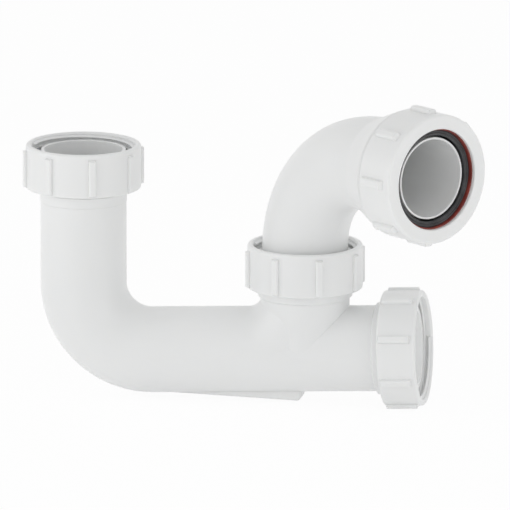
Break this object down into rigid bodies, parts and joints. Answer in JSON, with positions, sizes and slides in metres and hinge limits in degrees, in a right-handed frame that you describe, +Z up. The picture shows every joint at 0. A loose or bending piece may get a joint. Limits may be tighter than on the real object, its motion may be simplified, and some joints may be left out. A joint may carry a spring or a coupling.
{
  "type": "bath trap",
  "caption": "White moulded U-bend bath trap with ribbed captive nuts, a swivelling outlet elbow with a compression socket, and a screwed cleaning eye.",
  "frame": {"origin": "centre of the inlet spigot's end, on the inlet axis", "axes": "+Z up along the inlet axis, out of the spigot; +X from the inlet towards the boss and the cleaning eye"},
  "size_m": [0.2215, 0.1071, 0.153],
  "materials": {
    "plastic": "moulded satin gloss",
    "rubber": "matt",
    "slip": "matt fibre"
  },
  "bodies": {
    "trap": {"trap_body": "plastic", "inlet_washer": "rubber"},
    "inlet_nut": {"inlet_nut": "plastic"},
    "boss_nut": {"boss_nut": "plastic"},
    "boss_washer": {"boss_washer": "rubber"},
    "elbow": {"outlet_elbow": "plastic", "outlet_seal": "rubber"},
    "slip_washer": {"slip_washer": "slip"},
    "outlet_nut": {"outlet_nut": "plastic"},
    "eye_nut": {"eye_nut": "plastic"},
    "eye_plug": {"eye_plug": "plastic", "eye_washer": "rubber"}
  },
  "joints": [
    {"name": "inlet_nut_spin", "type": "hinge", "parent": "trap", "child": "inlet_nut", "pos_m": [0, 0, 0], "axis": [0, 0, 1], "continuous": true},
    {"name": "elbow_swivel", "type": "hinge", "parent": "trap", "child": "boss_washer", "pos_m": [0.1046, 0, 0], "axis": [0, 0, 1], "range_deg": [-100, 178]},
    {"name": "boss_nut_turn", "type": "hinge", "parent": "boss_washer", "child": "boss_nut", "pos_m": [0.1046, 0, -0.05], "axis": [0, 0, -1], "range_deg": [0, 1800]},
    {"name": "elbow_lift", "type": "slide", "parent": "boss_washer", "child": "elbow", "axis": [0, 0, 1], "range_m": [0, 0.0116]},
    {"name": "slip_washer_slide", "type": "slide", "parent": "elbow", "child": "slip_washer", "axis": [0.7826, -0.6225, 0], "range_m": [0, 0.0091]},
    {"name": "outlet_nut_turn", "type": "hinge", "parent": "slip_washer", "child": "outlet_nut", "pos_m": [0.17613, -0.0569, 0.0047], "axis": [0.7826, -0.6225, 0], "range_deg": [0, 1080]},
    {"name": "eye_nut_turn", "type": "hinge", "parent": "trap", "child": "eye_nut", "pos_m": [0.14266, 0, -0.08926], "axis": [-0.999, 0, -0.0454], "range_deg": [0, 1440]},
    {"name": "eye_plug_slide", "type": "slide", "parent": "trap", "child": "eye_plug", "axis": [0.999, 0, 0.0454], "range_m": [0, 0.0093]}
  ],
  "couplings": [
    {"joint": "elbow_lift", "follows": "boss_nut_turn", "m_per_rad": 0.00036749},
    {"joint": "slip_washer_slide", "follows": "outlet_nut_turn", "m_per_rad": 0.00047746},
    {"joint": "eye_plug_slide", "follows": "eye_nut_turn", "m_per_rad": 0.00036749}
  ]
}
